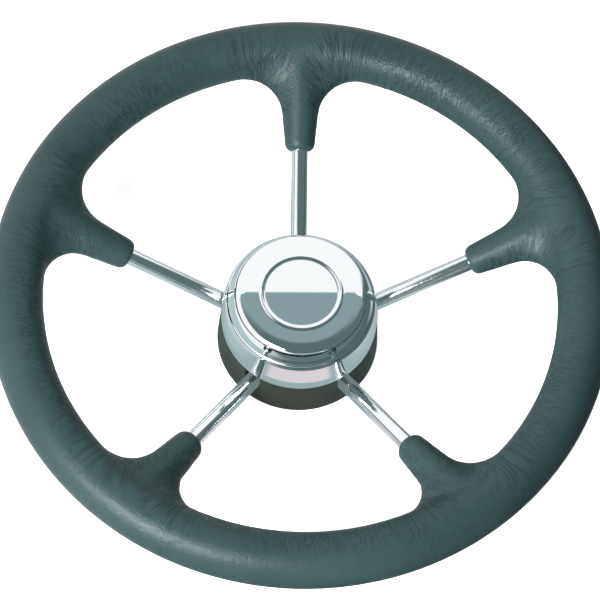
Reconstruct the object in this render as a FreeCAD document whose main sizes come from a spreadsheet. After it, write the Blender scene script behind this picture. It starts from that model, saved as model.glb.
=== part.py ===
import FreeCAD, Part
import math
import os

import Sketcher
from FreeCAD import Placement, Rotation, Vector

# Five-spoke boat steering wheel, lying on the back face of its hub.
# The origin is the centre of that face, +Z is the shaft axis and points at the helmsman.
# Lengths are millimetres and angles are degrees.

SIZES = {
    # The whole wheel
    "rim_diameter": 350.0,          # over the rim cover
    "rim_height": 58.5,             # rim centre plane above the back of the hub
    "spoke_count": 5,
    "first_spoke_angle": 18.0,      # the fifth part of a turn further on, one spoke points along +Y
    # Rim
    "rim_section": 30.8,            # thickness of the covered rim
    "core_bar": 10.0,               # round bar that is bent into the ring inside the rim
    "skin_clearance": 0.05,         # between the moulded cover and the steel it is moulded on
    # Sleeves of the rim cover that run down the spokes
    "sleeve_length": 42.4,          # from the inside of the rim to the free end, across the wheel
    "sleeve_end_width": 16.8,
    "sleeve_root_inset": 0.9,       # of the sleeve's cone from the side of the rim, at the rim centre
    "sleeve_end_round": 4.2,
    "sleeve_root_round": 22.0,      # hollow sweep of the sleeve into the rim
    # Spokes
    "spoke_bar": 9.5,
    "spoke_aim": 2.4,               # height at which the spoke axes would cross the shaft axis
    "spoke_inner_end": 15.5,        # end of a spoke in its socket, from the shaft axis
    "weld_clearance": 0.1,          # round a spoke in its socket and at the ring
    # Boss
    "boss_body": 42.0,
    "boss_length": 30.0,
    "boss_neck": 40.0,              # turned part that fills the hole in the base
    "flange_width": 62.0,
    "flange_thickness": 3.2,
    "taper_mouth": 19.05,           # wide end of the shaft taper
    "taper_ratio": 12.0,            # length for one unit less of diameter
    "nut_recess": 32.0,
    "nut_recess_depth": 7.0,
    "key_width": 4.76,
    "key_depth": 2.4,               # above the mouth of the taper
    "boss_chamfer": 0.8,
    # Base moulding
    "base_ledge": 0.3,              # past the outside of the cap
    "base_flare": 1.6,              # of the wall, from the ledge down to the foot
    "base_step_height": 26.6,       # ledge that the cap stands on
    "base_wall": 2.4,
    "base_floor": 2.8,
    "base_foot_round": 1.0,
    "spigot_height": 8.0,           # collar above the ledge, inside the cap
    "spigot_wall": 2.6,
    "spigot_clearance": 0.15,
    "slot_clearance": 0.4,          # beside a spoke in the wall of the base
    "neck_clearance": 0.15,
    "rib_thickness": 1.6,
    "rib_height": 9.0,
    "rib_gap": 1.0,                 # between a rib and the flange of the boss
    "rib_land": 2.2,                # level top of a rib, from the middle of the wall
    "rib_spread": 13.0,             # angle of a rib from the middle between two spokes
    "cut_margin": 1.0,              # of a cut past the surface that it leaves through
    # Cap
    "cap_height": 59.5,             # flat top above the back of the hub
    "cap_sheet": 0.8,
    "cap_skirt_width": 89.0,
    "cap_skirt_straight": 8.0,      # upright part of the skirt
    "cap_skirt_lean": 1.6,          # of the skirt's upper part, inwards
    "cap_ledge_drop": 2.3,          # of the sloping ledge between the dome and the skirt
    "cap_dome_height": 10.3,        # from the crease at the foot of the dome to the flat top
    "cap_crease_inset": 4.1,        # from the outside of the skirt
    "cap_haunch_inset": 6.8,        # corner of the dome before it is rounded
    "cap_haunch_drop": 3.3,         # of that corner below the flat top
    "cap_haunch_round": 15.0,
    "cap_haunch_share": 0.8,        # most that the round takes of the shorter side of that corner
    "cap_flat_share": 0.18,         # most that the next round takes of the side between the two
    "cap_flat_inset": 13.5,
    "cap_flat_round": 5.0,
    "cap_groove_inset": 22.1,       # to the middle of the ring groove
    "cap_groove_width": 2.8,
    "cap_groove_depth": 0.7,
    "cap_edge_round": 1.2,
    # Seal ring between the spigot and the cap
    "seal_section": 1.8,
    "seal_squeeze_room": 0.05,
    # Screws through the base into the flange
    "screw_circle": 26.0,
    "screw_thread": 4.0,
    "screw_head": 7.6,
    "screw_head_height": 2.2,
    "screw_length": 7.0,
    "screw_clearance": 0.2,
    "driver_width": 2.6,
    "driver_depth": 1.2,
}

document = FreeCAD.newDocument("steering_wheel")
sheet = document.addObject("Spreadsheet::Sheet", "Sizes")
for row, (alias, value) in enumerate(SIZES.items(), start=1):
    sheet.set(f"A{row}", alias)
    sheet.set(f"B{row}", str(value))
    sheet.setAlias(f"B{row}", alias)

# Values that follow from the sizes above
DERIVED = {
    "rim_radius": "=(rim_diameter - rim_section) / 2",
    "sleeve_start": "=rim_radius - rim_section / 2 - sleeve_length",
    "spoke_slope": "=atan((rim_height - spoke_aim) / rim_radius)",
    "spoke_step": "=360deg / spoke_count",
    "flange_top": "=base_floor + flange_thickness",
    "taper_length": "=boss_length - nut_recess_depth",
    "taper_end": "=taper_mouth - taper_length / taper_ratio",
    "cap_inner_width": "=cap_skirt_width - 2 * cap_sheet",
    "base_top_width": "=cap_skirt_width + 2 * base_ledge",
    "base_foot_width": "=base_top_width + 2 * base_flare",
    "spigot_width": "=cap_inner_width - 2 * spigot_clearance",
    "spigot_top": "=base_step_height + spigot_height",
    "seal_height": "=base_step_height + spigot_height / 2",
    "seal_radius": "=cap_inner_width / 2 - seal_squeeze_room - seal_section / 2",
    "core_cavity": "=core_bar + 2 * skin_clearance",
    "sleeve_root_width": "=rim_section - 2 * sleeve_root_inset",
    "cap_crease_height": "=cap_height - cap_dome_height",
    "skirt_top": "=cap_crease_height - cap_ledge_drop",
    "cap_flat_radius": "=cap_skirt_width / 2 - cap_flat_inset",
    "cap_groove_radius": "=cap_skirt_width / 2 - cap_groove_inset",
    "shoulder": "=hypot(cap_haunch_drop; cap_flat_inset - cap_haunch_inset)",
    "shoulder_lean": "=atan(cap_haunch_drop / (cap_flat_inset - cap_haunch_inset))",
    "dome_wall": "=hypot(cap_dome_height - cap_haunch_drop; cap_haunch_inset - cap_crease_inset)",
    "dome_lean": "=atan((cap_dome_height - cap_haunch_drop) / (cap_haunch_inset - cap_crease_inset))",
    "haunch_room": "=cap_haunch_share * min(shoulder; dome_wall) / tan((dome_lean - shoulder_lean) / 2)",
    "haunch_round": "=min(cap_haunch_round; haunch_room)",
    "flat_room": "=cap_flat_share * shoulder / tan(shoulder_lean / 2)",
    "flat_round": "=min(cap_flat_round; flat_room)",
}
for row, (alias, formula) in enumerate(DERIVED.items(), start=len(SIZES) + 1):
    sheet.set(f"A{row}", alias)
    sheet.set(f"B{row}", formula)
    sheet.setAlias(f"B{row}", alias)
document.recompute()


def plain(value):
    """Number behind a quantity or a plain value."""
    return value.Value if hasattr(value, "Value") else float(value)


def size(alias):
    """Value of a cell as a plain number."""
    return plain(getattr(sheet, alias))


def new_body(label):
    """Body that is turned so that its local +X lies along the first spoke."""
    body = document.addObject("PartDesign::Body", label)
    body.Label = label
    body.Placement = Placement(Vector(0, 0, 0), Rotation(Vector(0, 0, 1), size("first_spoke_angle")))
    body.setExpression("Placement.Rotation.Angle", "Sizes.first_spoke_angle * 1deg")
    return body


def origin_plane(body, role):
    return next(feature for feature in body.Origin.OriginFeatures if feature.Role == role)


def new_sketch(body, name, role):
    sketch = body.newObject("Sketcher::SketchObject", name)
    sketch.AttachmentSupport = [(origin_plane(body, role), "")]
    sketch.MapMode = "FlatFace"
    return sketch


def bind(sketch, kind, arguments, expression):
    """Adds a dimension and ties it to an expression of the sheet."""
    value = plain(sketch.evalExpression(expression))
    index = sketch.addConstraint(Sketcher.Constraint(kind, *arguments, value))
    sketch.setExpression(f"Constraints[{index}]", expression)


def pin_corner(sketch, edge, end, across, along):
    """Places one end of an edge; an expression of None puts it on the axis."""
    if across is None:
        sketch.addConstraint(Sketcher.Constraint("PointOnObject", edge, end, -2))
    else:
        bind(sketch, "DistanceX", (-1, 1, edge, end), across)
    if along is None:
        sketch.addConstraint(Sketcher.Constraint("PointOnObject", edge, end, -1))
    else:
        bind(sketch, "DistanceY", (-1, 1, edge, end), along)


def outline(sketch, corners):
    """Closed outline of straight edges through corners given as pairs of expressions."""
    def number(expression):
        return 0.0 if expression is None else plain(sketch.evalExpression(expression))

    points = [Vector(number(across), number(along), 0) for across, along in corners]
    first = sketch.GeometryCount
    for start, end in zip(points, points[1:] + points[:1]):
        sketch.addGeometry(Part.LineSegment(start, end), False)
    for step in range(len(points)):
        following = first + (step + 1) % len(points)
        sketch.addConstraint(Sketcher.Constraint("Coincident", first + step, 2, following, 1))
    for step, (across, along) in enumerate(corners):
        pin_corner(sketch, first + step, 1, across, along)


def round_section(sketch, across, along, diameter):
    """Circle in a sketch, with its centre and diameter tied to the sheet."""
    centre = Vector(plain(sketch.evalExpression(across)), plain(sketch.evalExpression(along)), 0)
    radius = plain(sketch.evalExpression(diameter)) / 2
    index = sketch.addGeometry(Part.Circle(centre, Vector(0, 0, 1), radius), False)
    bind(sketch, "Diameter", (index,), diameter)
    pin_corner(sketch, index, 3, across, along)


def turn(body, kind, name, sketch, axis="V_Axis"):
    """Full revolution of a sketch: PartDesign::Revolution adds, PartDesign::Groove cuts."""
    feature = body.newObject(kind, name)
    feature.Profile = sketch
    feature.ReferenceAxis = (sketch, [axis])
    feature.Angle = 360
    document.recompute()
    return feature


def repeat(body, name, feature, axis_sketch):
    """Copies of a feature round the shaft axis, one for each spoke."""
    pattern = body.newObject("PartDesign::PolarPattern", name)
    pattern.Originals = [feature] if feature else []
    pattern.Axis = (axis_sketch, ["V_Axis"])
    pattern.Angle = 360
    pattern.setExpression("Occurrences", "Sizes.spoke_count")
    body.Tip = pattern
    document.recompute()
    return pattern


def soften(body, name, base, edges, radius, kind="PartDesign::Fillet"):
    """Fillet, or chamfer, on the edges of a feature that a test picks out."""
    names = [f"Edge{number}" for number, edge in enumerate(base.Shape.Edges, start=1) if edges(edge)]
    if not names:
        raise RuntimeError(f"{name}: no edge to soften")
    feature = body.newObject(kind, name)
    feature.Base = (base, names)
    property_name = "Radius" if kind.endswith("Fillet") else "Size"
    feature.setExpression(property_name, radius)
    body.Tip = feature
    document.recompute()
    return feature


def is_ring(edge, radius, height, slack=0.02):
    """Whether an edge is a circle round the shaft axis of this radius and height."""
    curve = edge.Curve
    if curve.TypeId != "Part::GeomCircle" or edge.BoundBox.ZLength > slack:
        return False
    on_axis = math.hypot(curve.Center.x, curve.Center.y) < slack
    return on_axis and abs(curve.Radius - radius) < slack and abs(curve.Center.z - height) < slack


def slanted_sketch(body, name, distance):
    """Sketch square to a spoke, with its origin on the spoke's axis at a distance from the shaft axis."""
    sketch = new_sketch(body, name, "YZ_Plane")
    sketch.AttachmentOffset = Placement(Vector(0, 0, 0), Rotation(Vector(1, 0, 0), -size("spoke_slope")))
    sketch.setExpression("AttachmentOffset.Base.z", distance)
    height = f"Sizes.spoke_aim + ({distance}) * tan(Sizes.spoke_slope)"
    sketch.setExpression("AttachmentOffset.Base.y", height)
    sketch.setExpression("AttachmentOffset.Rotation.Angle", "-Sizes.spoke_slope")
    return sketch


def spoke_line(sketch):
    """Construction line along the spoke axis, from the shaft axis to the rim centre."""
    start = Vector(0, size("spoke_aim"), 0)
    end = Vector(size("rim_radius"), size("rim_height"), 0)
    line = sketch.addGeometry(Part.LineSegment(start, end), True)
    pin_corner(sketch, line, 1, None, "Sizes.spoke_aim")
    pin_corner(sketch, line, 2, "Sizes.rim_radius", "Sizes.rim_height")
    return line


def half_section(sketch, line, near, far, near_radius, far_radius):
    """Half outline of a straight or tapered round body on a spoke axis."""
    slope = math.radians(size("spoke_slope"))

    def number(expression):
        return plain(sketch.evalExpression(expression))

    along = Vector(math.cos(slope), math.sin(slope), 0)
    square = Vector(-math.sin(slope), math.cos(slope), 0)
    aim = Vector(0, size("spoke_aim"), 0)
    starts = aim + along * (number(near) / math.cos(slope))
    ends = aim + along * (number(far) / math.cos(slope))
    corners = [starts, ends, ends + square * number(far_radius), starts + square * number(near_radius)]
    first = sketch.GeometryCount
    for start, end in zip(corners, corners[1:] + corners[:1]):
        sketch.addGeometry(Part.LineSegment(start, end), False)
    for step in range(4):
        following = first + (step + 1) % 4
        sketch.addConstraint(Sketcher.Constraint("Coincident", first + step, 2, following, 1))
    sketch.addConstraint(Sketcher.Constraint("PointOnObject", first, 1, line))
    sketch.addConstraint(Sketcher.Constraint("PointOnObject", first, 2, line))
    sketch.addConstraint(Sketcher.Constraint("Perpendicular", first + 1, line))
    sketch.addConstraint(Sketcher.Constraint("Perpendicular", first + 3, line))
    bind(sketch, "DistanceX", (-1, 1, first, 1), near)
    bind(sketch, "DistanceX", (-1, 1, first, 2), far)
    bind(sketch, "Distance", (first + 1,), far_radius)
    bind(sketch, "Distance", (first + 3,), near_radius)


def ring_section(body, name, diameter):
    """Round section of the rim at a spoke."""
    sketch = new_sketch(body, name, "XZ_Plane")
    round_section(sketch, "Sizes.rim_radius", "Sizes.rim_height", diameter)
    return sketch


def make_rim_cover():
    """Soft moulded cover of the rim, with one sleeve down each spoke and room for the steel inside.

    One share of the ring is made round the first spoke, with its sleeve swept into it, and then repeated.
    """
    body = new_body("rim_cover")
    rim_sketch = ring_section(body, "rim_section_sketch", "Sizes.rim_section")
    share = turn(body, "PartDesign::Revolution", "rim_share", rim_sketch)
    share.Midplane = True
    share.setExpression("Angle", "Sizes.spoke_step")

    sleeve_sketch = new_sketch(body, "sleeve_sketch", "XZ_Plane")
    line = spoke_line(sleeve_sketch)
    half_section(sleeve_sketch, line, "Sizes.sleeve_start", "Sizes.rim_radius",
                 "Sizes.sleeve_end_width / 2", "Sizes.sleeve_root_width / 2")
    sleeve = turn(body, "PartDesign::Revolution", "sleeve", sleeve_sketch, "Axis0")

    end_radius = size("sleeve_end_width") / 2
    roots = soften(body, "sleeve_root", sleeve,
                   lambda edge: edge.Curve.TypeId == "Part::GeomBSplineCurve",
                   "Sizes.sleeve_root_round")
    soften(body, "sleeve_end", roots,
           lambda edge: edge.Curve.TypeId == "Part::GeomCircle"
           and abs(edge.Curve.Radius - end_radius) < size("skin_clearance") / 2,
           "Sizes.sleeve_end_round")

    bore_sketch = new_sketch(body, "spoke_hole_sketch", "XZ_Plane")
    line = spoke_line(bore_sketch)
    reach = "Sizes.sleeve_start - Sizes.sleeve_end_width"
    radius = "Sizes.spoke_bar / 2 + Sizes.skin_clearance"
    half_section(bore_sketch, line, reach, "Sizes.rim_radius", radius, radius)
    turn(body, "PartDesign::Groove", "spoke_hole", bore_sketch, "Axis0")
    turn(body, "PartDesign::Groove", "core_cavity",
         ring_section(body, "core_cavity_sketch", "Sizes.core_cavity"))

    ring = repeat(body, "whole_rim", None, rim_sketch)
    ring.TransformMode = "Whole shape"
    document.recompute()
    return body


def make_rim_core():
    """Ring of round bar inside the rim."""
    body = new_body("rim_core")
    turn(body, "PartDesign::Revolution", "core_ring", ring_section(body, "core_sketch", "Sizes.core_bar"))
    return body


def make_spoke(number):
    """Round bar from its socket in the boss to the ring, its outer end hollowed to fit the ring."""
    body = new_body(f"spoke_{number}")
    angle = f"(Sizes.first_spoke_angle * 1deg + {number} * Sizes.spoke_step)"
    body.setExpression("Placement.Rotation.Angle", angle)
    bar_sketch = slanted_sketch(body, "bar_sketch", "Sizes.spoke_inner_end")
    round_section(bar_sketch, "0", "0", "Sizes.spoke_bar")
    bar = body.newObject("PartDesign::Pad", "bar")
    bar.Profile = bar_sketch
    bar.setExpression("Length", "(Sizes.rim_radius - Sizes.spoke_inner_end) / cos(Sizes.spoke_slope)")
    document.recompute()
    cope_sketch = ring_section(body, "cope_sketch", "Sizes.core_bar + 2 * Sizes.weld_clearance")
    turn(body, "PartDesign::Groove", "cope", cope_sketch)
    return body


def make_hub_boss():
    """Turned boss with the taper for the shaft, a keyway, a recess for the nut and the spoke sockets."""
    body = new_body("hub_boss")
    profile = new_sketch(body, "boss_profile", "XZ_Plane")
    outline(profile, [
        ("Sizes.taper_mouth / 2", None),
        ("Sizes.boss_neck / 2", None),
        ("Sizes.boss_neck / 2", "Sizes.base_floor"),
        ("Sizes.flange_width / 2", "Sizes.base_floor"),
        ("Sizes.flange_width / 2", "Sizes.flange_top"),
        ("Sizes.boss_body / 2", "Sizes.flange_top"),
        ("Sizes.boss_body / 2", "Sizes.boss_length"),
        ("Sizes.nut_recess / 2", "Sizes.boss_length"),
        ("Sizes.nut_recess / 2", "Sizes.taper_length"),
        ("Sizes.taper_end / 2", "Sizes.taper_length"),
    ])
    turned = turn(body, "PartDesign::Revolution", "turned_boss", profile)
    top_edges = soften(body, "boss_edges", turned,
                       lambda edge: is_ring(edge, size("boss_body") / 2, size("boss_length"))
                       or is_ring(edge, size("nut_recess") / 2, size("boss_length"))
                       or is_ring(edge, size("flange_width") / 2, size("flange_top")),
                       "Sizes.boss_chamfer", "PartDesign::Chamfer")

    socket_sketch = slanted_sketch(body, "socket_sketch", "Sizes.spoke_inner_end")
    round_section(socket_sketch, "0", "0", "Sizes.spoke_bar + 2 * Sizes.weld_clearance")
    socket = body.newObject("PartDesign::Pocket", "socket")
    socket.Profile = socket_sketch
    socket.Reversed = True
    socket.setExpression("Length", "Sizes.flange_width / 2")
    document.recompute()
    repeat(body, "sockets", socket, profile)

    key_sketch = new_sketch(body, "key_sketch", "XY_Plane")
    outline(key_sketch, [
        (None, "-Sizes.key_width / 2"),
        ("Sizes.taper_mouth / 2 + Sizes.key_depth", "-Sizes.key_width / 2"),
        ("Sizes.taper_mouth / 2 + Sizes.key_depth", "Sizes.key_width / 2"),
        (None, "Sizes.key_width / 2"),
    ])
    key_sketch.AttachmentOffset = Placement(Vector(0, 0, 0), Rotation(Vector(0, 0, 1), size("spoke_step")))
    key_sketch.setExpression("AttachmentOffset.Rotation.Angle", "Sizes.spoke_step")
    keyway = body.newObject("PartDesign::Pocket", "keyway")
    keyway.Profile = key_sketch
    keyway.Reversed = True
    keyway.setExpression("Length", "Sizes.taper_length")
    document.recompute()

    half_step = size("spoke_step") / 2
    thread_sketch = new_sketch(body, "thread_sketch", "XY_Plane")
    thread_sketch.AttachmentOffset = Placement(Vector(0, 0, 0), Rotation(Vector(0, 0, 1), half_step))
    thread_sketch.setExpression("AttachmentOffset.Rotation.Angle", "Sizes.spoke_step / 2")
    round_section(thread_sketch, "Sizes.screw_circle", "0", "Sizes.screw_thread + 2 * Sizes.weld_clearance")
    thread_hole = body.newObject("PartDesign::Pocket", "thread_hole")
    thread_hole.Profile = thread_sketch
    thread_hole.Reversed = True
    thread_hole.setExpression("Length", "Sizes.boss_length")
    document.recompute()
    repeat(body, "thread_holes", thread_hole, profile)
    return body


def make_hub_base():
    """Moulded cup behind the cap, with a slot for each spoke, a collar for the cap and ribs inside."""
    body = new_body("hub_base")
    profile = new_sketch(body, "base_profile", "XZ_Plane")
    inner_foot = "Sizes.base_foot_width / 2 - Sizes.base_wall"
    inner_step = "Sizes.base_top_width / 2 - Sizes.base_wall"
    inner_top = "Sizes.spigot_width / 2 - Sizes.spigot_wall"
    outline(profile, [
        ("Sizes.boss_neck / 2 + Sizes.neck_clearance", None),
        ("Sizes.base_foot_width / 2", None),
        ("Sizes.base_top_width / 2", "Sizes.base_step_height"),
        ("Sizes.spigot_width / 2", "Sizes.base_step_height"),
        ("Sizes.spigot_width / 2", "Sizes.spigot_top"),
        (inner_top, "Sizes.spigot_top"),
        (inner_top, "Sizes.base_step_height"),
        (inner_step, "Sizes.base_step_height - Sizes.base_wall"),
        (inner_foot, "Sizes.base_floor"),
        ("Sizes.boss_neck / 2 + Sizes.neck_clearance", "Sizes.base_floor"),
    ])
    cup = turn(body, "PartDesign::Revolution", "cup", profile)
    cup_foot = soften(body, "foot_edge", cup,
                      lambda edge: is_ring(edge, size("base_foot_width") / 2, 0),
                      "Sizes.base_foot_round")

    seal_sketch = new_sketch(body, "seal_groove_sketch", "XZ_Plane")
    seal_inner = "Sizes.seal_radius - Sizes.seal_section / 2"
    groove_reach = "Sizes.spigot_width / 2 + Sizes.spigot_wall"
    low = "Sizes.seal_height - Sizes.seal_section / 2 - Sizes.seal_squeeze_room"
    high = "Sizes.seal_height + Sizes.seal_section / 2 + Sizes.seal_squeeze_room"
    outline(seal_sketch, [(seal_inner, low), (groove_reach, low), (groove_reach, high), (seal_inner, high)])
    turn(body, "PartDesign::Groove", "seal_groove", seal_sketch)

    rib_sketch = new_sketch(body, "rib_sketch", "XZ_Plane")
    rib_turn = size("spoke_step") / 2 - size("rib_spread")
    rib_sketch.AttachmentOffset = Placement(Vector(0, 0, 0), Rotation(Vector(0, 1, 0), rib_turn))
    rib_angle = "(Sizes.spoke_step / 2 - Sizes.rib_spread * 1deg)"
    rib_sketch.setExpression("AttachmentOffset.Rotation.Angle", rib_angle)
    rib_top = "Sizes.base_floor + Sizes.rib_height"
    wall_foot = "Sizes.base_foot_width / 2 - Sizes.base_wall / 2"
    wall_at_top = f"{wall_foot} - Sizes.base_flare * ({rib_top}) / Sizes.base_step_height"
    outline(rib_sketch, [
        ("Sizes.flange_width / 2 + Sizes.rib_gap", "Sizes.base_floor"),
        (wall_foot, "Sizes.base_floor"),
        (wall_at_top, rib_top),
        (wall_at_top + " - Sizes.rib_land", rib_top),
    ])
    rib = body.newObject("PartDesign::Pad", "rib")
    rib.Profile = rib_sketch
    rib.Midplane = True
    rib.setExpression("Length", "Sizes.rib_thickness")
    document.recompute()
    repeat(body, "ribs", rib, profile)

    slot_sketch = new_sketch(body, "slot_sketch", "YZ_Plane")
    slot_start = f"({inner_top} - Sizes.base_wall)"
    slot_sketch.setExpression("AttachmentOffset.Base.z", slot_start)
    half_width = "(Sizes.spoke_bar / 2 + Sizes.slot_clearance)"
    middle = "(Sizes.spoke_aim + Sizes.base_top_width / 2 * tan(Sizes.spoke_slope))"
    outline(slot_sketch, [
        ("-" + half_width, middle),
        ("-" + half_width, "Sizes.spigot_top + Sizes.cut_margin"),
        (half_width, "Sizes.spigot_top + Sizes.cut_margin"),
        (half_width, middle),
    ])
    slot = body.newObject("PartDesign::Pocket", "slot")
    slot.Profile = slot_sketch
    slot.Reversed = True
    slot.setExpression("Length", "Sizes.base_foot_width / 2")
    document.recompute()
    repeat(body, "slots", slot, profile)

    seat_sketch = slanted_sketch(body, "slot_end_sketch", slot_start)
    round_section(seat_sketch, "0", "0", "Sizes.spoke_bar + 2 * Sizes.slot_clearance")
    seat = body.newObject("PartDesign::Pocket", "slot_end")
    seat.Profile = seat_sketch
    seat.Reversed = True
    seat.setExpression("Length", "Sizes.base_foot_width / 2")
    document.recompute()
    repeat(body, "slot_ends", seat, profile)

    hole_sketch = new_sketch(body, "screw_hole_sketch", "XZ_Plane")
    half_step = size("spoke_step") / 2
    hole_sketch.AttachmentOffset = Placement(Vector(0, 0, 0), Rotation(Vector(0, 1, 0), half_step))
    hole_sketch.setExpression("AttachmentOffset.Rotation.Angle", "Sizes.spoke_step / 2")
    screw_outline(hole_sketch, "Sizes.screw_clearance", "Sizes.base_floor + Sizes.cut_margin")
    hole = turn(body, "PartDesign::Groove", "screw_hole", hole_sketch, "Axis0")
    repeat(body, "screw_holes", hole, profile)
    return body


def screw_outline(sketch, clearance, length):
    """Half outline of a countersunk screw on its axis, grown by a clearance."""
    start = Vector(size("screw_circle"), 0, 0)
    axis = sketch.addGeometry(Part.LineSegment(start, start + Vector(0, size("screw_length"), 0)), True)
    pin_corner(sketch, axis, 1, "Sizes.screw_circle", None)
    pin_corner(sketch, axis, 2, "Sizes.screw_circle", "Sizes.screw_length")
    head = f"Sizes.screw_circle + Sizes.screw_head / 2 + {clearance}"
    shank = f"Sizes.screw_circle + Sizes.screw_thread / 2 + {clearance}"
    outline(sketch, [
        ("Sizes.screw_circle", None),
        (head, None),
        (shank, "Sizes.screw_head_height"),
        (shank, length),
        ("Sizes.screw_circle", length),
    ])


def make_base_screws():
    """Countersunk screws that hold the base to the flange of the boss, one between each two spokes."""
    body = new_body("base_screws")
    body.AllowCompound = True
    half_step = size("spoke_step") / 2
    screw_sketch = new_sketch(body, "screw_sketch", "XZ_Plane")
    screw_sketch.AttachmentOffset = Placement(Vector(0, 0, 0), Rotation(Vector(0, 1, 0), half_step))
    screw_sketch.setExpression("AttachmentOffset.Rotation.Angle", "Sizes.spoke_step / 2")
    screw_outline(screw_sketch, "0", "Sizes.screw_length")
    screw = turn(body, "PartDesign::Revolution", "screw", screw_sketch, "Axis0")
    driver_sketch = new_sketch(body, "driver_sketch", "XY_Plane")
    driver_sketch.AttachmentOffset = Placement(Vector(0, 0, 0), Rotation(Vector(0, 0, 1), half_step))
    driver_sketch.setExpression("AttachmentOffset.Rotation.Angle", "Sizes.spoke_step / 2")
    corners = []
    for corner in range(6):
        across = f"Sizes.screw_circle + Sizes.driver_width * cos({60 * corner}deg) / sqrt(3)"
        along = f"Sizes.driver_width * sin({60 * corner}deg) / sqrt(3)" if corner % 3 else None
        corners.append((across, along))
    outline(driver_sketch, corners)
    driver = body.newObject("PartDesign::Pocket", "driver_socket")
    driver.Profile = driver_sketch
    driver.Reversed = True
    driver.setExpression("Length", "Sizes.driver_depth")
    document.recompute()
    pattern = body.newObject("PartDesign::PolarPattern", "screws")
    pattern.Originals = [screw, driver]
    pattern.Axis = (screw_sketch, ["V_Axis"])
    pattern.Angle = 360
    pattern.setExpression("Occurrences", "Sizes.spoke_count")
    body.Tip = pattern
    document.recompute()
    return body


def make_hub_cap():
    """Pressed cap: flat top with a ring groove, rounded dome, sloping ledge and an upright skirt."""
    body = new_body("hub_cap")
    profile = new_sketch(body, "cap_profile", "XZ_Plane")
    groove_inner = "Sizes.cap_groove_radius - Sizes.cap_groove_width / 2"
    groove_outer = "Sizes.cap_groove_radius + Sizes.cap_groove_width / 2"
    outside = "Sizes.cap_skirt_width / 2"
    outline(profile, [
        (None, "Sizes.base_step_height"),
        (outside, "Sizes.base_step_height"),
        (outside, "Sizes.base_step_height + Sizes.cap_skirt_straight"),
        (outside + " - Sizes.cap_skirt_lean", "Sizes.skirt_top"),
        (outside + " - Sizes.cap_crease_inset", "Sizes.cap_crease_height"),
        (outside + " - Sizes.cap_haunch_inset", "Sizes.cap_height - Sizes.cap_haunch_drop"),
        ("Sizes.cap_flat_radius", "Sizes.cap_height"),
        (groove_outer, "Sizes.cap_height"),
        ("Sizes.cap_groove_radius", "Sizes.cap_height - Sizes.cap_groove_depth"),
        (groove_inner, "Sizes.cap_height"),
        (None, "Sizes.cap_height"),
    ])
    blank = turn(body, "PartDesign::Revolution", "pressed_blank", profile)
    skirt = size("cap_skirt_width") / 2
    top = size("cap_height")
    dome = soften(body, "dome", blank,
                  lambda edge: is_ring(edge, skirt - size("cap_haunch_inset"), top - size("cap_haunch_drop")),
                  "Sizes.haunch_round")
    crown = soften(body, "crown", dome,
                   lambda edge: is_ring(edge, size("cap_flat_radius"), top), "Sizes.flat_round")
    bends = soften(body, "bends", crown,
                   lambda edge: is_ring(edge, skirt - size("cap_skirt_lean"), size("skirt_top"))
                   or is_ring(edge, size("cap_groove_radius"), top - size("cap_groove_depth")),
                   "Sizes.cap_edge_round")
    shell = body.newObject("PartDesign::Thickness", "sheet")
    bottom = [f"Face{number}" for number, face in enumerate(bends.Shape.Faces, start=1)
              if abs(face.BoundBox.ZMax - size("base_step_height")) < size("skin_clearance")]
    shell.Base = (bends, bottom)
    shell.setExpression("Value", "Sizes.cap_sheet")
    shell.Reversed = True
    shell.Mode = 0
    shell.Join = 0
    body.Tip = shell
    document.recompute()
    return body


def make_cap_seal():
    """Rubber ring in the groove of the collar, which grips the inside of the cap."""
    body = new_body("cap_seal")
    seal_sketch = new_sketch(body, "seal_sketch", "XZ_Plane")
    round_section(seal_sketch, "Sizes.seal_radius", "Sizes.seal_height", "Sizes.seal_section")
    turn(body, "PartDesign::Revolution", "seal", seal_sketch)
    return body


pieces = [make_rim_cover(), make_rim_core()]
pieces += [make_spoke(number) for number in range(int(size("spoke_count")))]
pieces += [make_hub_boss(), make_hub_base(), make_base_screws(), make_cap_seal(), make_hub_cap()]
document.recompute()

for item in document.Objects:
    if "Invalid" in item.State or "Error" in item.State:
        raise RuntimeError(f"{item.Label} failed: {item.State}")
for piece in pieces:
    if piece.Shape.isNull() or not piece.Shape.isValid():
        raise RuntimeError(f"{piece.Label} has no valid shape")

os.makedirs("parts", exist_ok=True)
for piece in pieces:
    piece.Shape.exportStep(os.path.join("parts", f"{piece.Label}.step"))
    box = piece.Shape.BoundBox
    print(f"{piece.Label}: {len(piece.Shape.Solids)} solid(s), {piece.Shape.Volume:.0f} mm3, "
          f"z {box.ZMin:.1f} to {box.ZMax:.1f}, width {box.XLength:.1f} x {box.YLength:.1f}")
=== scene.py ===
import math

import bmesh
import bpy
from mathutils import Matrix, Vector, noise


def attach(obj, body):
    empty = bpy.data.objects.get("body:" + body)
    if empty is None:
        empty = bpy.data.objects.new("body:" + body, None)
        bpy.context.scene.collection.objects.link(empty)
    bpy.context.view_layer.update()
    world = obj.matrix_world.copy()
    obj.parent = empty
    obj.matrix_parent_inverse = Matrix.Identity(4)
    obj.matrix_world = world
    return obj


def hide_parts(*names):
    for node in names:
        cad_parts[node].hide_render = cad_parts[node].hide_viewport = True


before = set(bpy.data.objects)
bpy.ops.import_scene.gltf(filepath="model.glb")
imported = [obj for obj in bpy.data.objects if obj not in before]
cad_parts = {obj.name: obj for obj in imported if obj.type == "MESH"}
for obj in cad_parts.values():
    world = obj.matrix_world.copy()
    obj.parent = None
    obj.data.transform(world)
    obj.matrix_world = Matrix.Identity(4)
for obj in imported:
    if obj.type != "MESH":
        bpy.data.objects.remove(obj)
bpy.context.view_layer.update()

# Sizes of the wheel, in metres
RIM_RADIUS = 0.1596           # centre line of the rim
RIM_HEIGHT = 0.0585
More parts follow.
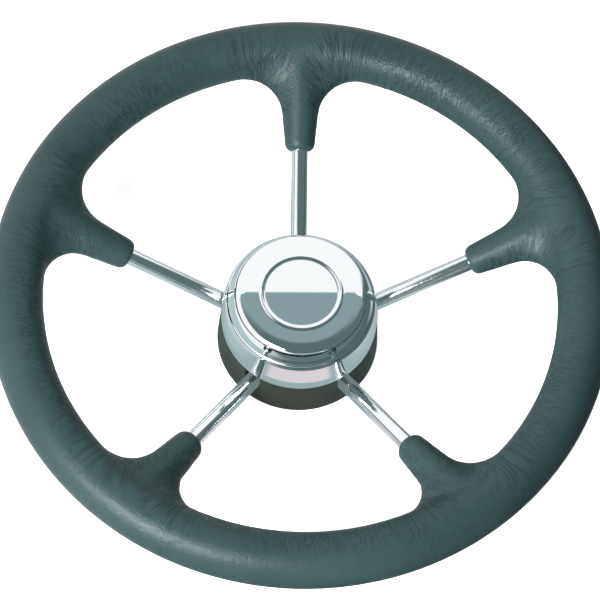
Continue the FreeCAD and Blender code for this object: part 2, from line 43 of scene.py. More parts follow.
CORE_ROOM = 0.00505           # radius of the room for the ring of bar inside the rim
SPOKE_BAR = 0.0095            # diameter of a spoke
BAR_ROOM = 0.0048             # radius of the room for a spoke
SPOKE_AIM = 0.0024            # height at which the spokes point at the shaft axis
SPOKE_START = 0.0155          # distance of a spoke's foot from the shaft axis
FIRST_SPOKE = 18              # bearings of the spokes, in degrees
SPOKE_STEP = 72
SPOKE_ANGLES = [math.radians(FIRST_SPOKE + SPOKE_STEP * number) for number in range(5)]
SLOPE = math.atan2(RIM_HEIGHT - SPOKE_AIM, RIM_RADIUS)

# Creases of the rim's skin, in millimetres
RIM_CREASE_GAP = 1.7
RIM_CREASE_LENGTH = 4.2
ROOT_CREASE_GAP = 1.5
ROOT_CREASE_LENGTH = 5.5
ROOT_CREASE_LEAN = 0.36       # rise of a sleeve's creases for each millimetre outwards
ROOT_ALONG = 125.2            # centre of the fillet at a sleeve's root: along the spoke and beside it
ROOT_BESIDE = 31.0
ROOT_RADIUS = 26.0
COARSENESS = (1.0, 1.0, 1.0, 1.45, 1.25)    # of the creases at each spoke
FOLD_HEIGHT = 0.00006         # broad folds, in metres

# The camera that was fitted to the photograph, in its pixels and in degrees
PHOTO_WIDTH = 600
FOCAL_LENGTH = 2854
AXIS_AT = (301.26, 293.1)     # point of the photograph on the camera's axis
CAMERA_BEARING = -4.65
CAMERA_ELEVATION = 63.79
CAMERA_ROLL = 5.135
CAMERA_DISTANCE = 1.6         # from the middle of the rim, in metres


def new_piece(name, mesh_data, material):
    """Puts a finished bmesh into the scene as a smooth piece that rides with the wheel."""
    mesh = bpy.data.meshes.new(name)
    mesh_data.to_mesh(mesh)
    mesh_data.free()
    mesh.materials.append(material)
    for face in mesh.polygons:
        face.use_smooth = True
    piece = bpy.data.objects.new(name, mesh)
    bpy.context.scene.collection.objects.link(piece)
    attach(piece, "root")
    return piece


def apply_modifiers(piece):
    """Makes the piece's modifiers part of its mesh."""
    graph = bpy.context.evaluated_depsgraph_get()
    finished = bpy.data.meshes.new_from_object(piece.evaluated_get(graph))
    piece.modifiers.clear()
    old = piece.data
    piece.data = finished
    bpy.data.meshes.remove(old)
    for face in piece.data.polygons:
        face.use_smooth = True


def spoke_point(angle, reach):
    """Point on a spoke's axis at a distance from the shaft axis."""
    return Vector((reach * math.cos(angle), reach * math.sin(angle), SPOKE_AIM + reach * math.tan(SLOPE)))


def soft_step(value, low, high):
    """0 up to low, 1 from high on, and smooth in between."""
    share = min(max((value - low) / (high - low), 0.0), 1.0)
    return share * share * (3 - 2 * share)


def feed(tree, value, socket):
    """Links another node's output to a socket, or writes a plain value there."""
    if isinstance(value, bpy.types.NodeSocket):
        tree.links.new(value, socket)
    else:
        socket.default_value = value


def combine(tree, operation, first, second=None, clamp=False):
    """Result of a Math node."""
    node = tree.nodes.new("ShaderNodeMath")
    node.operation = operation
    node.use_clamp = clamp
    feed(tree, first, node.inputs[0])
    if second is not None:
        feed(tree, second, node.inputs[1])
    return node.outputs[0]


def combine_vectors(tree, operation, *values):
    """Result of a Vector Math node."""
    node = tree.nodes.new("ShaderNodeVectorMath")
    node.operation = operation
    for value, socket in zip(values, node.inputs):
        feed(tree, value, socket)
    return node.outputs["Value" if operation == "LENGTH" else "Vector"]


def ramp(tree, source, low, high, to_low=0.0, to_high=1.0):
    """The source's span from low to high, smoothly mapped to another span."""
    node = tree.nodes.new("ShaderNodeMapRange")
    node.interpolation_type = "SMOOTHSTEP"
    tree.links.new(source, node.inputs["Value"])
    for label, value in (("From Min", low), ("From Max", high), ("To Min", to_low), ("To Max", to_high)):
        node.inputs[label].default_value = value
    return node.outputs["Result"]


def blend_colours(tree, share, first, second):
    """The first colour, turned into the second by a share. Plain colours are red, green and blue."""
    node = tree.nodes.new("ShaderNodeMix")
    node.data_type = "RGBA"
    first, second = ((*colour, 1) if isinstance(colour, tuple) else colour for colour in (first, second))
    values = {"Factor_Float": share, "A_Color": first, "B_Color": second}
    for socket in node.inputs:
        if socket.identifier in values:
            feed(tree, values[socket.identifier], socket)
    return next(socket for socket in node.outputs if socket.type == "RGBA")


def object_place(tree):
    return tree.nodes.new("ShaderNodeTexCoord").outputs["Object"]


def add_noise(tree, place, scale, detail):
    node = tree.nodes.new("ShaderNodeTexNoise")
    tree.links.new(place, node.inputs["Vector"])
    feed(tree, scale, node.inputs["Scale"])
    node.inputs["Detail"].default_value = detail
    return node


def add_bump(tree, shader, height, strength, distance):
    """Raises the shader's surface by a height; the distance is in metres."""
    bump = tree.nodes.new("ShaderNodeBump")
    bump.inputs["Strength"].default_value = strength
    bump.inputs["Distance"].default_value = distance
    tree.links.new(height, bump.inputs["Height"])
    tree.links.new(bump.outputs["Normal"], shader.inputs["Normal"])


def add_glow(tree, colour, strength=1.0):
    """Emission of a colour and a strength."""
    glow = tree.nodes.new("ShaderNodeEmission")
    feed(tree, colour, glow.inputs["Color"])
    feed(tree, strength, glow.inputs["Strength"])
    return glow.outputs[0]


def mix_shaders(tree, share, first, second):
    mix = tree.nodes.new("ShaderNodeMixShader")
    for value, socket in zip((share, first, second), mix.inputs):
        tree.links.new(value, socket)
    return mix.outputs[0]


def new_group(name, inputs, outputs):
    """Shader node group with named sockets; returns the group and its two end nodes."""
    group = bpy.data.node_groups.new(name, "ShaderNodeTree")
    for label, kind, value in inputs:
        socket = group.interface.new_socket(label, in_out="INPUT", socket_type=kind)
        if value is not None:
            socket.default_value = value
    for label, kind in outputs:
        group.interface.new_socket(label, in_out="OUTPUT", socket_type=kind)
    return group, group.nodes.new("NodeGroupInput"), group.nodes.new("NodeGroupOutput")


def place_group(tree, group, **values):
    """Node that holds a group; an input's name is written with low lines for its spaces."""
    node = tree.nodes.new("ShaderNodeGroup")
    node.node_tree = group
    for label, value in values.items():
        node.inputs[label.replace("_", " ")].default_value = value
    return node


def make_handling_group():
    """Uneven film of handling: broad soft patches and fine rub marks, as two masks."""
    group, start, end = new_group(
        "handling_marks",
        [("Patch Scale", "NodeSocketFloat", 25.0), ("Rub Scale", "NodeSocketFloat", 600.0)],
        [("Patches", "NodeSocketFloat"), ("Rubs", "NodeSocketFloat")])
    place = object_place(group)
    patches = add_noise(group, place, start.outputs["Patch Scale"], 3.0)
    rubs = add_noise(group, place, start.outputs["Rub Scale"], 2.0)
    group.links.new(ramp(group, patches.outputs["Fac"], 0.35, 0.65), end.inputs["Patches"])
    group.links.new(ramp(group, rubs.outputs["Fac"], 0.4, 0.7), end.inputs["Rubs"])
    return group


def make_crease_group():
    """Fine creases along a flow: a mask that is 1 in the bottom of a crease."""
    group, start, end = new_group("crease_lines", [("Flow", "NodeSocketVector", None)],
                                  [("Lines", "NodeSocketFloat")])
    flow = start.outputs["Flow"]
    sway = add_noise(group, flow, 0.55, 2.0)
    swayed = combine_vectors(group, "MULTIPLY_ADD", sway.outputs["Color"], (0.9, 0.9, 0.9), flow)
    cells = group.nodes.new("ShaderNodeTexVoronoi")
    cells.feature = "DISTANCE_TO_EDGE"
    cells.inputs["Scale"].default_value = 1.0
    group.links.new(swayed, cells.inputs["Vector"])
    lines = ramp(group, cells.outputs["Distance"], 0.0, 0.3, 1.0, 0.0)
    breaks = add_noise(group, flow, 0.8, 2.0)
    unbroken = ramp(group, breaks.outputs["Fac"], 0.38, 0.58)
    group.links.new(combine(group, "MULTIPLY", lines, unbroken), end.inputs["Lines"])
    return group


handling_marks = make_handling_group()
crease_lines = make_crease_group()


def new_material(name):
    """Material with its node tree and its Principled BSDF."""
    material = bpy.data.materials.new(name)
    material.use_nodes = True
    tree = material.node_tree
    return material, tree, tree.nodes["Principled BSDF"]


def read_attribute(tree, name):
    node = tree.nodes.new("ShaderNodeAttribute")
    node.attribute_name = name
    return node


def make_foam_skin():
    """Skin of the moulded rim: teal grey, satin, with fine creases, painted shade in their bottoms and a fine
    grain.
    """
    material, tree, shader = new_material("foam_skin")
    marks = place_group(tree, handling_marks, Patch_Scale=18.0, Rub_Scale=900.0)
    rim_lines, root_lines = (place_group(tree, crease_lines) for _ in range(2))
    for lines, flow in ((rim_lines, "rim_flow"), (root_lines, "root_flow")):
        tree.links.new(read_attribute(tree, flow).outputs["Vector"], lines.inputs["Flow"])
    near_root = read_attribute(tree, "near_root").outputs["Fac"]
    on_sleeve = combine(tree, "MULTIPLY", root_lines.outputs["Lines"], near_root)
    on_rim = combine(tree, "MULTIPLY", rim_lines.outputs["Lines"], combine(tree, "SUBTRACT", 1.0, near_root))
    creases = combine(tree, "MULTIPLY", combine(tree, "ADD", on_rim, on_sleeve),
                      read_attribute(tree, "crease_strength").outputs["Fac"], clamp=True)
    grain = add_noise(tree, object_place(tree), 900.0, 4.0).outputs["Fac"]
    surface = blend_colours(tree, marks.outputs["Patches"], (0.0310, 0.0630, 0.0640), (0.0360, 0.0710, 0.0725))
    # Painted shade: the skin's colour darkens towards a dark teal in the bottoms of the creases.
    with_painted_crease_shade = blend_colours(tree, combine(tree, "MULTIPLY", creases, 0.65), surface, (0.0095, 0.026, 0.028))
    tree.links.new(with_painted_crease_shade, shader.inputs["Base Color"])
    roughness = combine(tree, "ADD", ramp(tree, grain, 0.3, 0.7, 0.31, 0.39),
                        combine(tree, "MULTIPLY", creases, 0.08))
    tree.links.new(roughness, shader.inputs["Roughness"])
    shader.inputs["Specular IOR Level"].default_value = 0.22
    height = combine(tree, "SUBTRACT", combine(tree, "MULTIPLY", grain, 1.8), creases)
    add_bump(tree, shader, height, 0.8, 0.00018)
    return material


def make_polished_steel(name, roughness, roughness_at_hub):
    """Polish with hairline wiping marks, duller where a bar goes into the hub."""
    material, tree, shader = new_material(name)
    marks = place_group(tree, handling_marks, Patch_Scale=30.0, Rub_Scale=500.0)
    shader.inputs["Metallic"].default_value = 1.0
    tone = blend_colours(tree, marks.outputs["Patches"], (0.92, 0.95, 0.96), (0.94, 0.965, 0.97))
    tree.links.new(tone, shader.inputs["Base Color"])
    from_shaft = combine_vectors(tree, "LENGTH", combine_vectors(tree, "MULTIPLY", object_place(tree), (1, 1, 0)))
    plain = ramp(tree, from_shaft, 0.047, 0.060, roughness_at_hub, roughness)
    uneven = combine(tree, "ADD", combine(tree, "MULTIPLY", marks.outputs["Rubs"], 0.4), 0.8)
    tree.links.new(combine(tree, "MULTIPLY", uneven, plain), shader.inputs["Roughness"])
    return material


def make_turned_steel():
    """Plain turned and bent steel inside the hub and the rim."""
    material, tree, shader = new_material("turned_steel")
    marks = place_group(tree, handling_marks, Patch_Scale=60.0, Rub_Scale=1500.0)
    shader.inputs["Metallic"].default_value = 1.0
    tone = blend_colours(tree, marks.outputs["Patches"], (0.50, 0.51, 0.52), (0.58, 0.59, 0.60))
    tree.links.new(tone, shader.inputs["Base Color"])
    tree.links.new(combine(tree, "ADD", combine(tree, "MULTIPLY", marks.outputs["Rubs"], 0.12), 0.26),
                   shader.inputs["Roughness"])
    turning = tree.nodes.new("ShaderNodeTexWave")
    turning.wave_type = "RINGS"
    turning.rings_direction = "Z"
    turning.inputs["Scale"].default_value = 700.0
    turning.inputs["Distortion"].default_value = 0.6
    tree.links.new(object_place(tree), turning.inputs["Vector"])
    add_bump(tree, shader, turning.outputs["Fac"], 0.12, 0.00003)
    return material


def make_moulded_plastic():
    """Dark olive plastic of the base, with a fine spark texture. Reflections see a painted teal-grey glow in its
    place, lighter than the plastic.
    """
    material, tree, shader = new_material("moulded_plastic")
    marks = place_group(tree, handling_marks, Patch_Scale=22.0, Rub_Scale=1800.0)
    tone = blend_colours(tree, marks.outputs["Patches"], (0.0200, 0.0250, 0.0175), (0.0250, 0.0305, 0.0220))
    tree.links.new(tone, shader.inputs["Base Color"])
    tree.links.new(combine(tree, "ADD", combine(tree, "MULTIPLY", marks.outputs["Rubs"], 0.08), 0.48),
                   shader.inputs["Roughness"])
    shader.inputs["Specular IOR Level"].default_value = 0.25
    add_bump(tree, shader, marks.outputs["Rubs"], 0.25, 0.00006)
    # Painted reflection: rays from the polish see a teal-grey glow here instead of the plastic.
    path = tree.nodes.new("ShaderNodeLightPath")
    seen = mix_shaders(tree, path.outputs["Is Glossy Ray"], shader.outputs[0],
                       add_glow(tree, (0.17, 0.22, 0.23, 1)))
    tree.links.new(seen, tree.nodes["Material Output"].inputs["Surface"])
    return material


def make_seal_rubber():
    """Smooth black rubber of the cap's seal."""
    material, tree, shader = new_material("seal_rubber_look")
    marks = place_group(tree, handling_marks, Patch_Scale=80.0, Rub_Scale=2500.0)
    tone = blend_colours(tree, marks.outputs["Rubs"], (0.018, 0.018, 0.019), (0.026, 0.026, 0.027))
    tree.links.new(tone, shader.inputs["Base Color"])
    tree.links.new(combine(tree, "ADD", combine(tree, "MULTIPLY", marks.outputs["Patches"], 0.1), 0.55),
                   shader.inputs["Roughness"])
    return material


foam_skin = make_foam_skin()
cap_steel = make_polished_steel("cap_steel", 0.007, 0.007)
bar_steel = make_polished_steel("bar_steel", 0.13, 0.2)
turned_steel = make_turned_steel()
moulded_plastic = make_moulded_plastic()
seal_rubber = make_seal_rubber()


def dress(node, material):
    """Gives a node of the frame a finished material."""
    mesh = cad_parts[node].data
    mesh.materials.clear()
    mesh.materials.append(material)


for node in ("rim_core", "hub_boss", "base_screws"):
    dress(node, turned_steel)
dress("hub_base", moulded_plastic)
dress("cap_seal", seal_rubber)


def in_the_room(point):
    """Whether a point of the cover lies on the wall of the room for the steel."""
    slack = 0.0001
    if math.hypot(math.hypot(point.x, point.y) - RIM_RADIUS, point.z - RIM_HEIGHT) < CORE_ROOM + slack:
        return True
    for angle in SPOKE_ANGLES:
        start = spoke_point(angle, 0)
        along = (spoke_point(angle, RIM_RADIUS) - start).normalized()
        offset = point - start
        reach = offset.dot(along)
        if 0 < reach < RIM_RADIUS / math.cos(SLOPE) and (offset - along * reach).length < BAR_ROOM + slack:
            return True
    return False


def skin_flow(point):
    """How the skin creases at a point of the cover.

    Gives the run of the creases on the rim, their run at a sleeve, the share that the sleeve's run has, and the
    creases' strength. A run is measured in creases across them and in crease lengths along them.
    """
    mm = point * 1000
    rim_radius = RIM_RADIUS * 1000
    bearing = math.atan2(mm.y, mm.x)
    index = round((math.degrees(bearing) - FIRST_SPOKE) / SPOKE_STEP) % 5
    angle = SPOKE_ANGLES[index]
    along = mm.x * math.cos(angle) + mm.y * math.sin(angle)
    across = math.remainder(bearing - angle, math.tau) * rim_radius
    reach = math.hypot(mm.x, mm.y)
    bend = math.degrees(math.atan2(mm.z - RIM_HEIGHT * 1000, reach - rim_radius)) % 360   # 90 on top, 180 inside

    # On the rim the creases run round its section
    rim_flow = Vector((mm.x / reach * 160 / RIM_CREASE_GAP, mm.y / reach * 160 / RIM_CREASE_GAP,
                       (mm.z + reach) * 0.7 / RIM_CREASE_LENGTH))

    # At a sleeve they fan out round each root and then run across the sleeve
    forward = along - ROOT_ALONG
    beside = abs(across) - ROOT_BESIDE
    if forward < 0:
        flow = forward
    elif beside > 0:
        flow = math.pi / 2 * ROOT_RADIUS + beside
    else:
        flow = math.atan2(forward, -beside) * ROOT_RADIUS
    coarseness = COARSENESS[index]
    own_part = 9.7 * index    # so that no two sleeves have the same creases
    root_flow = Vector((flow / coarseness / ROOT_CREASE_GAP, across / ROOT_CREASE_LENGTH,
                        (mm.z - ROOT_CREASE_LEAN * along) / ROOT_CREASE_LENGTH + own_part))

    near_root = 1 - soft_step(abs(across), 34, 52)
    inner_half = soft_step(bend, 62, 118) * (1 - soft_step(bend, 250, 300))
    patch = 0.55 + 0.9 * (noise.noise(mm * 0.028) + 0.35)
    on_rim = (0.32 + 0.68 * inner_half) * min(max(patch, 0.35), 1.3)
    on_sleeve = soft_step(along, 92, 118) * (1.0 + 0.9 * noise.noise(mm * 0.04 + Vector((5, 5, 5))))
    on_sleeve *= (0.4 + 0.6 * soft_step(abs(across), 2, 12)) * (1 - 0.75 * soft_step(along, 150, 168))
    on_sleeve = max(on_sleeve * coarseness, 0.1)
    strength = on_rim * (1 - near_root) + on_sleeve * near_root
    return rim_flow, root_flow, near_root, strength


def fold_height(rim_flow, root_flow, near_root, strength):
    """Broad low folds of the skin, in metres."""
    stretch = Vector((0.45, 0.45, 0.6))
    on_rim = noise.noise(rim_flow * stretch)
    on_sleeve = noise.noise(root_flow * stretch)
    fold = on_rim * (1 - near_root) + 1.8 * on_sleeve * near_root
    return FOLD_HEIGHT * fold * strength


def make_rim_cover():
    """The moulded cover: the solid's outer skin, closed, made even and folded."""
    skin = bmesh.new()
    skin.from_mesh(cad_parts["rim_cover"].data)
    bmesh.ops.remove_doubles(skin, verts=skin.verts, dist=0.00001)
    inner = {vertex for vertex in skin.verts if in_the_room(vertex.co)}
    hidden = [face for face in skin.faces if inner.issuperset(face.verts)]
    bmesh.ops.delete(skin, geom=hidden, context="FACES")
    bmesh.ops.holes_fill(skin, edges=[edge for edge in skin.edges if edge.is_boundary])
    bmesh.ops.recalc_face_normals(skin, faces=skin.faces)
    cover = new_piece("rim_cover_skin", skin, foam_skin)
    even = cover.modifiers.new("even", "REMESH")
    even.mode = "VOXEL"
    even.voxel_size = 0.0012
    even.use_smooth_shade = True
    soften = cover.modifiers.new("soften", "SMOOTH")
    soften.factor = 0.5
    soften.iterations = 6
    apply_modifiers(cover)
    mesh = cover.data
    normals = [vertex.normal.copy() for vertex in mesh.vertices]
    flows = [skin_flow(vertex.co) for vertex in mesh.vertices]
    for vertex, normal, flow in zip(mesh.vertices, normals, flows):
        vertex.co += normal * fold_height(*flow)
    for column, (name, kind) in enumerate((("rim_flow", "FLOAT_VECTOR"), ("root_flow", "FLOAT_VECTOR"),
                                           ("near_root", "FLOAT"), ("crease_strength", "FLOAT"))):
        attribute = mesh.attributes.new(name, kind, "POINT")
        for item, flow in zip(attribute.data, flows):
            if kind == "FLOAT_VECTOR":
                item.vector = flow[column]
            else:
                item.value = flow[column]
    mesh.materials.clear()
    mesh.materials.append(foam_skin)
    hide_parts("rim_cover")


def make_spoke(number):
    """Polished round bar from its socket to the ring inside the rim."""
    angle = SPOKE_ANGLES[number]
    start = spoke_point(angle, SPOKE_START)
    end = spoke_point(angle, RIM_RADIUS - CORE_ROOM)
    bar = bmesh.new()
    bmesh.ops.create_circle(bar, cap_ends=True, segments=96, radius=SPOKE_BAR / 2)
    grown = bmesh.ops.extrude_face_region(bar, geom=bar.faces[:])
    top = [item for item in grown["geom"] if isinstance(item, bmesh.types.BMVert)]
    bmesh.ops.translate(bar, verts=top, vec=(0, 0, (end - start).length))
    bmesh.ops.recalc_face_normals(bar, faces=bar.faces)
    rims = [edge for edge in bar.edges if len({round(v.co.z, 6) for v in edge.verts}) == 1]
    bmesh.ops.bevel(bar, geom=rims, offset=0.0004, offset_type="OFFSET", segments=2, profile=0.5,
                    affect="EDGES", material=-1)
    turn = (end - start).to_track_quat("Z", "X").to_matrix().to_4x4()
    bmesh.ops.transform(bar, matrix=Matrix.Translation(start) @ turn, verts=bar.verts)
    piece = new_piece(f"spoke_bar_{number}", bar, bar_steel)
    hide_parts(f"spoke_{number}")


def make_cap():
    """Pressed cap, turned from its coarse profile, with its bends rounded and the sheet's thickness inside.

    Rings close to the bends keep the flats and the skirt true in the reflections.
    """
    # Radius and height in millimetres; a bend has its rounding and the rounding's segments as well
    profile = [
        (0, 59.5), (20.3, 59.5), (21.0, 59.5, 0.25, 3), (22.4, 60.2, 0.65, 8), (23.8, 59.5, 0.25, 3),
        (24.5, 59.5), (30.2, 59.5), (31.2, 59.5, 0.9, 8), (35.0, 59.1, 1.2, 12), (37.1, 57.7, 1.2, 12),
        (39.2, 54.1, 2.0, 12), (40.8, 50.0, 0.25, 3), (41.9, 49.0, 0.6, 6), (42.6, 47.6, 0.6, 6),
        (42.9, 46.2, 0.7, 6), (44.4, 35.4), (44.5, 34.6), (44.5, 33.8), (44.5, 27.0), (44.5, 26.6)]
    cap = bmesh.new()
    corners = [cap.verts.new((radius / 1000, 0, height / 1000)) for radius, height, *_ in profile]
    for first, second in zip(corners, corners[1:]):
        cap.edges.new((first, second))
    for radius, height, rounding, segments in (bend for bend in profile if len(bend) > 2):
        spot = Vector((radius / 1000, 0, height / 1000))
        corner = next(vertex for vertex in cap.verts if (vertex.co - spot).length < 0.00001)
        bmesh.ops.bevel(cap, geom=[corner], offset=rounding / 1000, offset_type="OFFSET", segments=segments,
                        profile=0.5, affect="VERTICES", material=-1)
    bmesh.ops.spin(cap, geom=cap.verts[:] + cap.edges[:], cent=(0, 0, 0), axis=(0, 0, 1),
                   angle=math.tau, steps=192, use_merge=True, use_normal_flip=False, use_duplicate=False)
    bmesh.ops.remove_doubles(cap, verts=cap.verts, dist=0.000002)
    bmesh.ops.recalc_face_normals(cap, faces=cap.faces)
    if sum(face.normal.z * face.calc_area() for face in cap.faces) < 0:
        bmesh.ops.reverse_faces(cap, faces=cap.faces)
    bmesh.ops.solidify(cap, geom=cap.faces[:], thickness=0.0008)
    piece = new_piece("pressed_cap", cap, cap_steel)
    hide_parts("hub_cap")


make_rim_cover()
for number in range(5):
    make_spoke(number)
make_cap()


def painted_mirrored_floor(tree, place, reach):
    """Painted reflection of the floor for the polish, by place and distance from the middle: greyer than it is,
    with painted shade near the hub and painted shadow under and outside the rim on the right.
    """
    split = tree.nodes.new("ShaderNodeSeparateXYZ")
    tree.links.new(place, split.inputs[0])
    x, y, _ = split.outputs
    bearing = combine(tree, "ABSOLUTE", combine(tree, "ARCTAN2", x, combine(tree, "MULTIPLY", y, -1.0)))
    lit_side = combine(tree, "SUBTRACT", combine(tree, "MULTIPLY", y, 0.6), x)

    beside = ramp(tree, combine(tree, "ABSOLUTE", x), 0.05, 0.09)
    # Painted shade: a blue-grey strip close to the hub, lighter to either side, and a painted bright patch in
    # front.
    by_hub_painted_shade = blend_colours(tree, beside, (0.33, 0.43, 0.45), (0.60, 0.67, 0.68))
    in_front = ramp(tree, bearing, 0.46, 0.60, 1.0, 0.0)
    clear_of_hub = ramp(tree, reach, 0.059, 0.071)
    by_hub_painted_shade = blend_colours(tree, combine(tree, "MULTIPLY", in_front, clear_of_hub), by_hub_painted_shade, (0.72, 0.67, 0.69))
    # Painted shadow: the floor under the rim is dark on the right and front and light on the left and back.
    under_rim_painted_shadow = blend_colours(tree, ramp(tree, lit_side, -0.06, 0.08), (0.09, 0.13, 0.135), (0.46, 0.58, 0.60))
    # Painted shadow: the floor outside the rim is dark on the right and front and white on the left and back.
    outside_rim_painted_shadow = blend_colours(tree, ramp(tree, lit_side, -0.1, 0.1), (0.13, 0.18, 0.19), (0.9, 0.92, 0.93))
    colour = blend_colours(tree, ramp(tree, reach, 0.085, 0.12), by_hub_painted_shade, under_rim_painted_shadow)
    return blend_colours(tree, ramp(tree, reach, 0.18, 0.2), colour, outside_rim_painted_shadow)


def make_floor():
    """Pale floor. The camera sees it white, with only a trace of the shadow, and reflections see a painted glow
    of greys and painted shadows in its place.
    """
    material, tree, shader = new_material("studio_floor")
    tree.nodes.remove(shader)
    place = object_place(tree)
    reach = combine_vectors(tree, "LENGTH", place)
    plain = tree.nodes.new("ShaderNodeBsdfDiffuse")
    plain.inputs["Color"].default_value = (0.86, 0.86, 0.86, 1)
    white = tree.nodes.new("ShaderNodeAddShader")
    tree.links.new(plain.outputs[0], white.inputs[0])
    tree.links.new(add_glow(tree, (1, 1, 1, 1), ramp(tree, reach, 0.3, 1.6, 0.86, 1.0)), white.inputs[1])
    path = tree.nodes.new("ShaderNodeLightPath")
    seen = mix_shaders(tree, path.outputs["Is Camera Ray"], plain.outputs[0], white.outputs[0])
    # Painted reflection: rays from the polish see a glow with painted shade and shadows instead of the floor.
    seen = mix_shaders(tree, path.outputs["Is Glossy Ray"], seen,
                       add_glow(tree, painted_mirrored_floor(tree, place, reach)))
    tree.links.new(seen, tree.nodes["Material Output"].inputs["Surface"])
    disc = bmesh.new()
    bmesh.ops.create_circle(disc, cap_ends=True, segments=96, radius=6.0)
    bmesh.ops.translate(disc, verts=disc.verts, vec=(0, 0, -0.0005))
    mesh = bpy.data.meshes.new("studio_floor")
    disc.to_mesh(mesh)
    disc.free()
    mesh.materials.append(material)
    floor = bpy.data.objects.new("studio_floor", mesh)
    bpy.context.scene.collection.objects.link(floor)


def mirrored_studio(tree):
    """Colour that the polish sees in the studio: white, with the dark and grey panels of the photograph."""
    place = tree.nodes.new("ShaderNodeTexCoord")
    split = tree.nodes.new("ShaderNodeSeparateXYZ")
    tree.links.new(place.outputs["Generated"], split.inputs[0])
    x, y, z = split.outputs
    bearing = combine(tree, "DEGREES", combine(tree, "ARCTAN2", x, combine(tree, "MULTIPLY", y, -1.0)))
    height = combine(tree, "DEGREES", combine(tree, "ARCSINE", z))

    def panel(behind, colour, bearings, heights, soft_side, soft_end):
        """Panel between two bearings, counted from the front to the right, and two heights, in degrees."""
        share = 1.0
        for value, (low, high), soft in ((bearing, bearings, soft_side), (height, heights, soft_end)):
            inside = combine(tree, "MULTIPLY", ramp(tree, value, low - soft, low + soft),
                             ramp(tree, value, high - soft, high + soft, 1.0, 0.0))
            share = combine(tree, "MULTIPLY", share, inside)
        return blend_colours(tree, share, behind, colour)

    sky = panel((1.0, 1.0, 1.0), (0.10, 0.145, 0.15), (32, 134), (-12, 80), 8, 5)

    # The dark ceiling is a plane overhead, so its left and front edges are places on that plane
    high = combine(tree, "MAXIMUM", z, 0.02)
    leftward, backward = combine(tree, "DIVIDE", x, high), combine(tree, "DIVIDE", y, high)
    ceiling = combine(tree, "MULTIPLY", ramp(tree, leftward, -0.74, -0.46), ramp(tree, backward, -3.4, -2.2))
    back_edge = combine(tree, "SUBTRACT", combine(tree, "MULTIPLY", z, 0.4905), y)
    back_edge = combine(tree, "ADD", back_edge, combine(tree, "MULTIPLY", x, 0.014))
    ceiling = combine(tree, "MULTIPLY", ceiling, ramp(tree, back_edge, -0.0004, 0.0004))
    overhead = blend_colours(tree, ramp(tree, y, 0.24, 0.40), (0.105, 0.155, 0.16), (0.25, 0.345, 0.36))
    sky = blend_colours(tree, ceiling, sky, overhead)

    return panel(sky, (0.34, 0.41, 0.42), (-8, 26), (6, 19), 4, 4)


def make_world():
    """White studio. It fills the shadows a little, and rays from the polish and the camera see their own."""
    world = bpy.data.worlds.new("studio")
    bpy.context.scene.world = world
    world.use_nodes = True
    tree = world.node_tree
    tree.nodes.clear()
    white = (1, 1, 1, 1)
    fill, for_polish, for_camera = (tree.nodes.new("ShaderNodeBackground") for _ in range(3))
    for background, colour, strength in ((fill, white, 0.06), (for_polish, mirrored_studio(tree), 1.0),
                                         (for_camera, white, 1.0)):
        feed(tree, colour, background.inputs["Color"])
        background.inputs["Strength"].default_value = strength
    path = tree.nodes.new("ShaderNodeLightPath")
    seen = mix_shaders(tree, path.outputs["Is Glossy Ray"], fill.outputs[0], for_polish.outputs[0])
    seen = mix_shaders(tree, path.outputs["Is Camera Ray"], seen, for_camera.outputs[0])
    output = tree.nodes.new("ShaderNodeOutputWorld")
    tree.links.new(seen, output.inputs["Surface"])


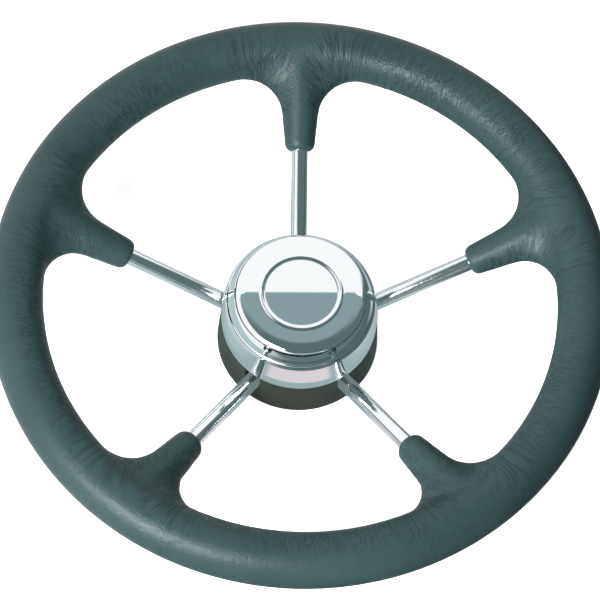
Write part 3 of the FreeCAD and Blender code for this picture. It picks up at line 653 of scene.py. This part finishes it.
def add_lamp(name, azimuth, elevation, distance, width, power, aim=(0, 0), spread=180, shines=True):
    """Soft square lamp that points at a spot at hub height and fades towards its edges."""
    lamp = bpy.data.lights.new(name, "AREA")
    lamp.shape = "SQUARE"
    lamp.size = width
    lamp.energy = power
    lamp.spread = math.radians(spread)
    lamp.use_nodes = True
    tree = lamp.node_tree
    spot = tree.nodes.new("ShaderNodeNewGeometry")
    offset = combine_vectors(tree, "SUBTRACT", spot.outputs["Parametric"], (0.5, 0.5, 0))
    from_middle = combine_vectors(tree, "LENGTH", offset)
    tree.links.new(ramp(tree, from_middle, 0.1, 0.5, 2.6, 0.0), tree.nodes["Emission"].inputs["Strength"])
    body = bpy.data.objects.new(name, lamp)
    azimuth, elevation = math.radians(azimuth), math.radians(elevation)
    away = Vector((math.cos(azimuth) * math.cos(elevation), math.sin(azimuth) * math.cos(elevation),
                   math.sin(elevation)))
    hub_height = 0.05
    body.location = Vector((0, 0, hub_height)) + away * distance
    body.rotation_euler = (body.location - Vector((*aim, hub_height))).to_track_quat("Z", "Y").to_euler()
    body.visible_glossy = shines
    bpy.context.scene.collection.objects.link(body)


def add_camera():
    """The photographer looks down on the wheel from the front, with the camera rolled a little."""
    bearing, elevation, roll = (math.radians(angle) for angle in (CAMERA_BEARING, CAMERA_ELEVATION, CAMERA_ROLL))
    back = Vector((math.sin(bearing) * math.cos(elevation), -math.cos(bearing) * math.cos(elevation),
                   math.sin(elevation)))
    level_right = Vector((math.cos(bearing), math.sin(bearing), 0))
    level_up = back.cross(level_right)
    right = level_right * math.cos(roll) + level_up * math.sin(roll)
    up = level_up * math.cos(roll) - level_right * math.sin(roll)
    lens = bpy.data.cameras.new("camera")
    lens.sensor_fit = "HORIZONTAL"
    lens.lens = FOCAL_LENGTH * lens.sensor_width / PHOTO_WIDTH
    lens.shift_x = (PHOTO_WIDTH / 2 - AXIS_AT[0]) / PHOTO_WIDTH
    lens.shift_y = (AXIS_AT[1] - PHOTO_WIDTH / 2) / PHOTO_WIDTH
    camera = bpy.data.objects.new("camera", lens)
    stand = Matrix((right, up, back)).transposed().to_4x4()
    stand.translation = Vector((0, 0, RIM_HEIGHT)) + back * CAMERA_DISTANCE
    camera.matrix_world = stand
    bpy.context.scene.collection.objects.link(camera)
    bpy.context.scene.camera = camera


make_floor()
make_world()
add_lamp("front_left_lamp", 230, 37, 1.7, 1.1, 10.2, aim=(0.16, 0.08), spread=64)
add_lamp("back_lamp", 80, 50, 0.9, 0.8, 3.4, shines=False)
add_camera()
bpy.context.scene.view_settings.view_transform = "Standard"
